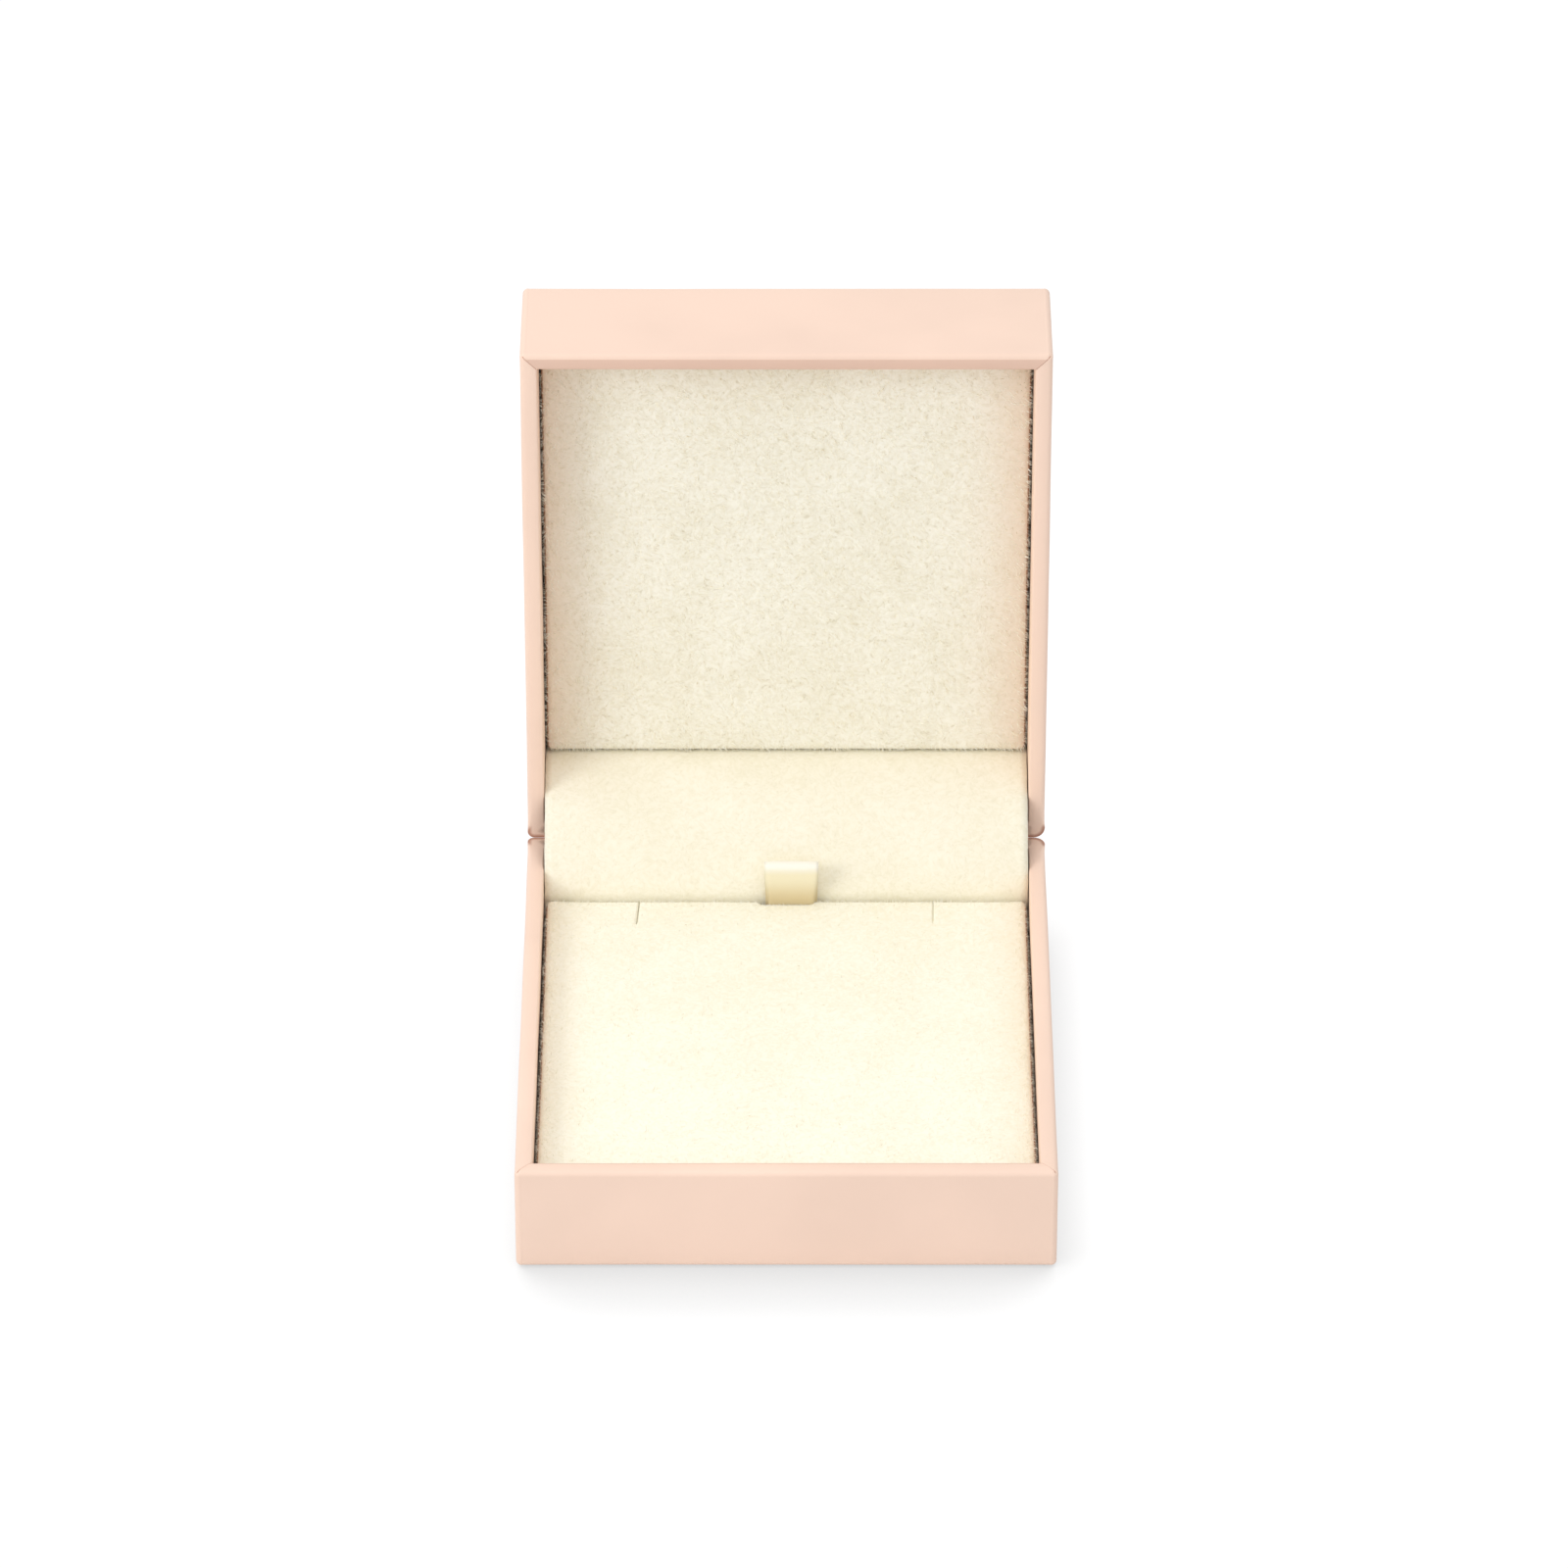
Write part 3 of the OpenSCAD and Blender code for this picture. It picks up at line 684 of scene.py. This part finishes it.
def cut_cover(x, y, z, over, rear):
    """Where the two chain slits and the ribbon's notch take a point of the cover."""
    in_slit = min(max((y - rear + slit_len) / 0.3, 0), 1)
    for side, width, depth in slits:
        off = abs(x - side * slit_at)
        if off < 0.06:
            z -= depth * in_slit * over * (z > -pad_t + 0.6)
        elif off < slit_half:
            x = side * slit_at + np.sign(x - side * slit_at) * width / 2
        x += slit_slant[side] * (y - rear) * max(0, 1 - off / 3) * over
    into = min(max((notch_w / 2 + 0.1 - abs(x)) / 0.4, 0), 1)
    y -= notch_d * into * min(max((y - rear + notch_reach) / notch_reach, 0), 1)
    return x, y, z


def velvet_pad(name, pad_w, rear, place, recess, has_cuts, edge_shade_most):
    """A pad's cover, with marks on it: "edge" where the pile crowds, "tight" where the
    cloth is drawn over, and "bare" underneath, where no pile shows."""
    half_w, half_y, middle = flat_top(pad_w, rear)
    points, faces = cover_net(pad_w, rear, has_cuts)
    shaped = []
    for (x, y, z), swell in zip(points, pressed_out(points, faces)):
        side_x, side_y = abs(x) / (pad_w / 2), abs(y - middle) / ((rear - pad_front) / 2)
        over = max(0, 1 + z / pad_r)
        soft = uneven_top * noise.noise(Vector((x, y, recess)) * 0.09) * over
        x += swell.x - np.sign(x) * bowed_side * max(0, side_x - 0.97) / 0.03 * (1 - side_y ** 2)
        y += swell.y
        if has_cuts:
            x, y, z = cut_cover(x, y, z, over, rear)
        shaped.append((x, y, z + swell.z + soft))
    pad = piece_from(name, shaped, faces, place @ Matrix.Translation((0, 0, -recess)), 180)

    marks = {"edge": [], "tight": [], "bare": []}
    for x, y, z in points:
        inside = min(half_w - abs(x), half_y - abs(y - middle), edge_mark_w)
        marks["edge"].append(0 if z < -0.4 * pad_t else 1 - max(inside, 0) / edge_mark_w)
        # Painted shade near the left and right sides of the top, and full down those sides.
        from_side = min(max(half_w - abs(x), 0), edge_shade_reach) / edge_shade_reach
        on_top = abs(x) < half_w + 0.5 * pad_r or z > -0.4 * pad_r
        marks["tight"].append(edge_shade_most * (1 - from_side) ** 2 if on_top else 1)
        marks["bare"].append(float(z < -0.5 * pad_t))
    for mark, values in marks.items():
        pad.data.attributes.new(mark, "FLOAT", "POINT").data.foreach_set("value", values)
    return pad


cream_velvet = velvet("cream_velvet", srgb(254, 251, 235), srgb(247, 242, 220),
                      srgb(214, 204, 178), 0.12)
# The lid's pad has a darker copy of the same velvet: painted shade for its recess, and more specks for
# its rougher nap.
shaded_velvet = velvet("shaded_cream_velvet", srgb(252, 249, 236), srgb(239, 233, 213),
                     srgb(206, 196, 170), 0.4)
insert_pad = velvet_pad("insert_pad", insert_w, insert_rear, at_base_rim(), insert_recess,
                        has_cuts=True, edge_shade_most=0.16)
lid_pad = velvet_pad("lid_pad", lid_pad_w, lid_pad_rear, at_lid_rim(), lid_pad_recess,
                     has_cuts=False, edge_shade_most=0.7)
insert_pad.data.materials.append(cream_velvet)
lid_pad.data.materials.append(shaded_velvet)
for piece, body, node in ((insert_pad, "insert", "insert_velvet"), (lid_pad, "lid", "lid_pad_velvet")):
    finer = piece.modifiers.new("finer", "SUBSURF")
    finer.levels = finer.render_levels = 1
    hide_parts(node)
    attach(piece, body)


# ---- Pile ----
# The velvet's short fibres: bent tapered hairs stood over the faces of both pads,
# thicker along their edges, where they stray into the gap beside the leatherette.
hair_tip, hair_bend, hair_stray, hair_swirl = 0.012, 420, 0.22, 2.6


def pile_nodes(material):
    """Geometry Nodes: hairs on a pad, crowded where its mark "edge" is high, and none
    where its mark "bare" is."""
    group = bpy.data.node_groups.new("pile", "GeometryNodeTree")
    group.interface.new_socket("Geometry", in_out="INPUT", socket_type="NodeSocketGeometry")
    for label in ("Density", "Edge Density", "Length", "Thickness", "Lean"):
        group.interface.new_socket(label, in_out="INPUT", socket_type="NodeSocketFloat")
    group.interface.new_socket("Seed", in_out="INPUT", socket_type="NodeSocketInt")
    group.interface.new_socket("Geometry", in_out="OUTPUT", socket_type="NodeSocketGeometry")
    wire = Wire(group)
    given = group.nodes.new("NodeGroupInput")
    pad, density, edge_density, length, thickness, lean, seed = (
        Wire(group, output) for output in given.outputs[:7])
    edge = wire.node("GeometryNodeInputNamedAttribute", (), {"Name": "edge"})
    bare = wire.node("GeometryNodeInputNamedAttribute", (), {"Name": "bare"})
    crowd = (edge * (edge_density - density) + density) * (1 - bare)
    spots = {"Mesh": pad, "Density": crowd, "Seed": seed}
    spread = wire.node("GeometryNodeDistributePointsOnFaces", (), spots)
    normal = Wire(group, spread.socket.node.outputs["Normal"])

    hair = {"Vertices": 3, "Side Segments": 2, "Radius Top": hair_tip * MM,
            "Radius Bottom": thickness, "Depth": length}
    hair = wire.node("GeometryNodeMeshCone", {"fill_type": "NONE"}, hair)
    along = wire.node("ShaderNodeSeparateXYZ", (), {0: wire.node("GeometryNodeInputPosition")}, out=2)
    bend = wire.node("ShaderNodeCombineXYZ", (), {"X": along * along * hair_bend})
    hair = wire.node("GeometryNodeSetPosition", (), {"Geometry": hair, "Offset": bend})

    place = wire.node("GeometryNodeInputPosition")
    swirl = wire.node("ShaderNodeTexNoise", {"noise_dimensions": "3D"},
                      {"Vector": place, "Scale": 330, "Detail": 1}, out=1)
    stray = wire.node("FunctionNodeRandomValue", {"data_type": "FLOAT_VECTOR"},
                      {0: (-hair_stray,) * 3, 1: (hair_stray,) * 3, "Seed": 3})
    sway = wire.node("ShaderNodeVectorMath", {"operation": "SUBTRACT"}, {0: swirl, 1: (0.5,) * 3})
    sway = wire.node("ShaderNodeVectorMath", {"operation": "MULTIPLY_ADD"},
                     {0: sway, 1: (hair_swirl,) * 3, 2: stray})
    sway = wire.node("ShaderNodeVectorMath", {"operation": "SCALE"}, {0: sway, "Scale": lean})
    way = wire.node("ShaderNodeVectorMath", {"operation": "ADD"}, {0: normal, 1: sway})
    turned = wire.node("FunctionNodeAlignRotationToVector", {"axis": "Z"}, {"Vector": way})
    size = wire.node("FunctionNodeRandomValue", {"data_type": "FLOAT"},
                     {2: 0.6, 3: 1.1, "Seed": 5}, out=1)
    size = size * (edge * -0.1 + 1)
    pile = wire.node("GeometryNodeInstanceOnPoints", (), {"Points": spread, "Instance": hair,
                                                          "Rotation": turned, "Scale": size})
    tone = wire.node("FunctionNodeRandomValue", {"data_type": "FLOAT"},
                     {2: 0.0, 3: 1.0, "Seed": 7}, out=1)
    pile = wire.node("GeometryNodeStoreNamedAttribute", {"data_type": "FLOAT", "domain": "INSTANCE"},
                     {"Geometry": pile, "Name": "tone", "Value": tone})
    pile = wire.node("GeometryNodeRealizeInstances", (), {0: pile})
    pile = wire.node("GeometryNodeSetMaterial", (), {0: pile, "Material": material})
    ends = group.nodes.new("NodeGroupOutput")
    group.links.new(pile.socket, ends.inputs[0])
    return group


def hair_white():
    hair = bpy.data.materials.new("pile_hair")
    paint = empty_tree(hair)
    tone = paint.node("ShaderNodeAttribute", {"attribute_name": "tone"}, out="Fac")
    colour = tone.clamped(0.0, 0.12).blend(srgb(226, 214, 186), srgb(251, 247, 229))
    colour = tone.clamped(0.4, 0.8).blend(colour, srgb(255, 253, 243))
    finish_principled(paint, {"Base Color": colour, "Roughness": 0.85, "Specular IOR Level": 0.2})
    return hair


def grow_pile(pad, name, values):
    """The pile of a finished pad, as a piece of its own."""
    marked = bpy.data.objects.new("marked", pad.data.copy())
    bpy.context.scene.collection.objects.link(marked)
    for modifier in pad.modifiers:
        finer = marked.modifiers.new(modifier.name, modifier.type)
        finer.levels = finer.render_levels = modifier.levels
    grown = marked.modifiers.new("pile", "NODES")
    grown.node_group = pile_nodes(pile_hair)
    for item in grown.node_group.interface.items_tree:
        if item.name in values:
            grown[item.identifier] = values[item.name]
    seen = marked.evaluated_get(bpy.context.evaluated_depsgraph_get())
    pile = bpy.data.objects.new(name, bpy.data.meshes.new_from_object(seen))
    pile.data.materials.clear()
    pile.data.materials.append(pile_hair)
    pile.data.polygons.foreach_set("material_index", [0] * len(pile.data.polygons))
    bpy.data.objects.remove(marked)
    bpy.context.scene.collection.objects.link(pile)
    return pile


pile_hair = hair_white()
lean_pile = {"Density": 1.4e6, "Edge Density": 5e6, "Length": 0.85 * MM, "Thickness": 0.075 * MM,
             "Lean": 1.5, "Seed": 11}
lid_pile = grow_pile(lid_pad, "lid_pad_pile", lean_pile)
fine_pile = {"Density": 0.7e6, "Edge Density": 6e6, "Length": 0.6 * MM, "Thickness": 0.05 * MM,
             "Lean": 1.8, "Seed": 12}
insert_pile = grow_pile(insert_pad, "insert_pile", fine_pile)
for pile, body in ((lid_pile, "lid"), (insert_pile, "insert")):
    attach(pile, body)


# ---- Hinge ----
# Steel with a dull nickel plating: two leaves riveted inside the rear walls, their
# knuckles on one pin, and two bowed springs that snap the lid open or shut.
spring_at, spring_w, spring_t = 17, 7, 0.3
spring_from, spring_reach, leaf_depth = -3.15, 3.6, 7


def nickel_steel():
    steel = bpy.data.materials.new("nickel_steel")
    paint = empty_tree(steel)
    place = paint.node("ShaderNodeTexCoord", out="Object")
    painted_shade_and_steel_lines = paint.node("ShaderNodeMapping", (), {"Vector": place, "Scale": (60, 2500, 2500)})
    lines = paint.node("ShaderNodeTexNoise", (), {"Vector": painted_shade_and_steel_lines, "Scale": 1, "Detail": 3})
    stain = paint.node("ShaderNodeTexNoise", (), {"Vector": place, "Scale": 260, "Detail": 3})
    colour = stain.clamped(0.3, 0.7).blend(srgb(184, 178, 170), srgb(214, 209, 201))
    fine = paint.node("ShaderNodeBump", (), {"Height": lines, "Strength": 0.2, "Distance": 0.03 * MM})
    roughness = lines * 0.2 + stain * 0.1 + 0.2
    finish_principled(paint, {"Base Color": colour, "Metallic": 0.5, "Roughness": roughness,
                              "Normal": fine})
    return steel


hinge_metal = nickel_steel()
for node in ("hinge_leaf_base", "hinge_leaf_lid", "hinge_rivets_base", "hinge_rivets_lid", "hinge_pin"):
    refinish(node, hinge_metal)


def in_lid(from_hinge, depth):
    """A point of the open lid's section, as (y, z) from the hinge line."""
    a, z = math.radians(open_angle), depth + rim_gap / 2
    return Vector((z * math.sin(a) - from_hinge * math.cos(a),
                   z * math.cos(a) + from_hinge * math.sin(a)))


def bezier(p, steps):
    shares = [i / steps for i in range(steps + 1)]
    return [p[0] * (1 - t) ** 3 + p[1] * 3 * t * (1 - t) ** 2
            + p[2] * 3 * t * t * (1 - t) + p[3] * t ** 3 for t in shares]


def path_normals(path):
    """Unit normals, to the left of the way along the path."""
    normals = []
    for i in range(len(path)):
        along = (path[min(i + 1, len(path) - 1)] - path[max(i - 1, 0)]).normalized()
        normals.append(Vector((-along.y, along.x)))
    return normals


def straight(a, b, steps):
    return [a.lerp(b, i / steps) for i in range(steps + 1)]


bend = [Vector((spring_from, 0)), Vector((spring_from, spring_reach)),
        in_lid(-spring_from, -spring_reach), in_lid(-spring_from, 0)]
spring_path = straight(Vector((spring_from, -leaf_depth)), bend[0], 6)[:-1] + bezier(bend, 20)
spring_path += straight(bend[3], in_lid(-spring_from, leaf_depth), 6)[1:]
points, faces = [], []
for side in (-1, 1):
    for at, normal in zip(spring_path, path_normals(spring_path)):
        first = len(points)
        for dx, dn in ((-1, -1), (1, -1), (1, 1), (-1, 1)):
            spot = at + normal * dn * spring_t / 2
            points.append((side * spring_at + dx * spring_w / 2, hinge_y + spot.x, hinge_z + spot.y))
        if at is spring_path[0]:
            faces.append((first + 3, first + 2, first + 1, first))
        else:
            faces += [(first - 4 + k, first - 4 + (k + 1) % 4, first + (k + 1) % 4, first + k)
                      for k in range(4)]
    faces.append(tuple(range(len(points) - 4, len(points))))
springs = piece_from("snap_springs_bowed", points, faces)
springs.data.materials.append(hinge_metal)
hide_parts("snap_springs")
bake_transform(springs)


# ---- Flap ----
# A strip of the same velvet hides the hinge. It is glued to the card frames behind
# the near edge of each pad, and is shaped as it lies with the lid open.
flap_w, flap_t = 83.9, 0.5
flap_from, flap_low, flap_tuck = -11.4, -4.5, 7
flap_rise, flap_run = 5, 7.5
low = Vector((flap_from, flap_low))
high = in_lid(-flap_from, lid_pad_recess)
curve = [low, low + Vector((0, flap_rise)), in_lid(-flap_from, lid_pad_recess - flap_run), high]
tuck_steps, free_steps = 6, 36
flap_path = straight(low - Vector((0, flap_tuck)), low, tuck_steps)[:-1] + bezier(curve, free_steps)
flap_path += straight(high, in_lid(-flap_from, lid_pad_recess + flap_tuck), tuck_steps)[1:]
flap_columns, flap_waves, flap_ripples, fray = 64, 0.35, 0.12, 0.08
flap_length = sum((b - a).length for a, b in zip(flap_path, flap_path[1:]))
points = []
for row, (at, normal) in enumerate(zip(flap_path, path_normals(flap_path))):
    free = max(0, math.sin(math.pi * min(max((row - tuck_steps) / free_steps, 0), 1)))
    for column in range(flap_columns + 1):
        x = (column / flap_columns - 0.5) * flap_w
        wave = flap_waves * noise.noise(Vector((x * 0.05, row * 0.06, 3.1))) * free
        wave += flap_ripples * noise.noise(Vector((x * 0.2, row * 0.12, 8.7))) * free
        spot = at + normal * (wave - 0.05)
        at_edge = abs(x) > flap_w / 2 - 0.1
        edge = fray * noise.noise(Vector((row * 0.3, np.sign(x), 1.3))) * at_edge
        points.append((x + edge, hinge_y + spot.x, hinge_z + spot.y))
flap = piece_from("velvet_flap", points, net_faces(len(flap_path), flap_columns + 1), None, 180)
brushed_velvet = velvet("brushed_velvet", srgb(252, 247, 229), srgb(244, 238, 215),
                        srgb(214, 204, 178), 0.15)
flap.data.materials.append(brushed_velvet)
thick = flap.modifiers.new("thickness", "SOLIDIFY")
thick.thickness, thick.offset = flap_t * MM, 0
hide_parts("hinge_flap")
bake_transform(flap)


# ---- Ribbon tab ----
# A loop of cream satin ribbon, its two ends glued under the insert's board. It comes
# up through the notch in the pad.
ribbon_w, ribbon_t, ribbon_h = 9.3, 0.3, 8
front_narrow, rear_narrow, cup_deep = 0.86, 0.96, 0.12
ribbon_at, ribbon_y = 0.9, insert_rear - 0.5
root, fold_r = 0.33, 0.83


def satin():
    ribbon = bpy.data.materials.new("cream_satin")
    paint = empty_tree(ribbon)
    place = paint.node("ShaderNodeUVMap", {"uv_map": "weave"})
    cross = paint.node("ShaderNodeMapping", (), {"Vector": place, "Scale": (1, 26, 1)})
    weft = paint.node("ShaderNodeTexNoise", (), {"Vector": cross, "Scale": 9, "Detail": 3})
    rise = paint.node("ShaderNodeAttribute", {"attribute_name": "rise"}, out="Fac")
    threads = paint.node("ShaderNodeTexWave", {"bands_direction": "X"}, {"Vector": place, "Scale": 60.0})
    relief = weft * 0.5 + threads * 0.5
    woven = paint.node("ShaderNodeBump", (), {"Height": relief, "Strength": 0.3, "Distance": 0.03 * MM})
    # Painted light: tan shade towards the ribbon's foot, and a near-white highlight at its top fold.
    colour = rise.clamped(0.05, 0.7).blend(srgb(226, 208, 164), srgb(250, 242, 212))
    colour = rise.clamped(0.72, 0.95).blend(colour, srgb(255, 252, 240))
    colour = (weft.clamped(0.3, 0.7) * 0.12).blend(colour, srgb(222, 206, 166))
    finish_principled(paint, {"Base Color": colour, "Roughness": weft * 0.12 + 0.3, "Normal": woven,
                              "Sheen Weight": 0.15, "Specular IOR Level": 0.6})
    return ribbon


top_fold = rounded((0, ribbon_h - 1), fold_r, 0, 180, 14)
loop = straight(Vector((root, -pad_t)), Vector((root, 0)), 6)[:-1]
loop += straight(Vector((root, 0)), Vector(top_fold[0]), 12)[:-1]
loop += [Vector(p) for p in top_fold]
loop += straight(Vector(top_fold[-1]), Vector((-root, 0)), 12)[1:]
loop += straight(Vector((-root, 0)), Vector((-root, -pad_t)), 6)[1:]
loop += [Vector((-root - d, -pad_t + 0.18)) for d in (0.3, 1.5, 3, 4.5, 6)]
points, painted_lights_by_height, ribbon_columns = [], [], 14
for at, normal in zip(loop, path_normals(loop)):
    up = min(max(at.y / ribbon_h, 0), 1)
    narrow = front_narrow if at.x > 0 else rear_narrow
    width = ribbon_w * (narrow + (1 - narrow) * min(1, up * 1.4))
    painted_lights_by_height += [up] * (ribbon_columns + 1)
    for column in range(ribbon_columns + 1):
        share = column / ribbon_columns - 0.5
        cup = cup_deep * (1 - 4 * share * share) * up
        spot = at + normal * -cup
        points.append((ribbon_at + share * width, ribbon_y - spot.x, rim_z - insert_recess + spot.y))
ribbon = piece_from("satin_ribbon", points, net_faces(len(loop), ribbon_columns + 1), None, 180)
weave = ribbon.data.uv_layers.new(name="weave")
for corner, loop_data in zip(ribbon.data.loops, weave.data):
    row, column = divmod(corner.vertex_index, ribbon_columns + 1)
    loop_data.uv = (column / ribbon_columns, row / ribbon_columns)
ribbon.data.attributes.new("rise", "FLOAT", "POINT").data.foreach_set("value", painted_lights_by_height)
ribbon.data.materials.append(satin())
ply = ribbon.modifiers.new("thickness", "SOLIDIFY")
ply.thickness, ply.offset = ribbon_t * MM, 0
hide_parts("ribbon_tab")
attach(ribbon, "insert")
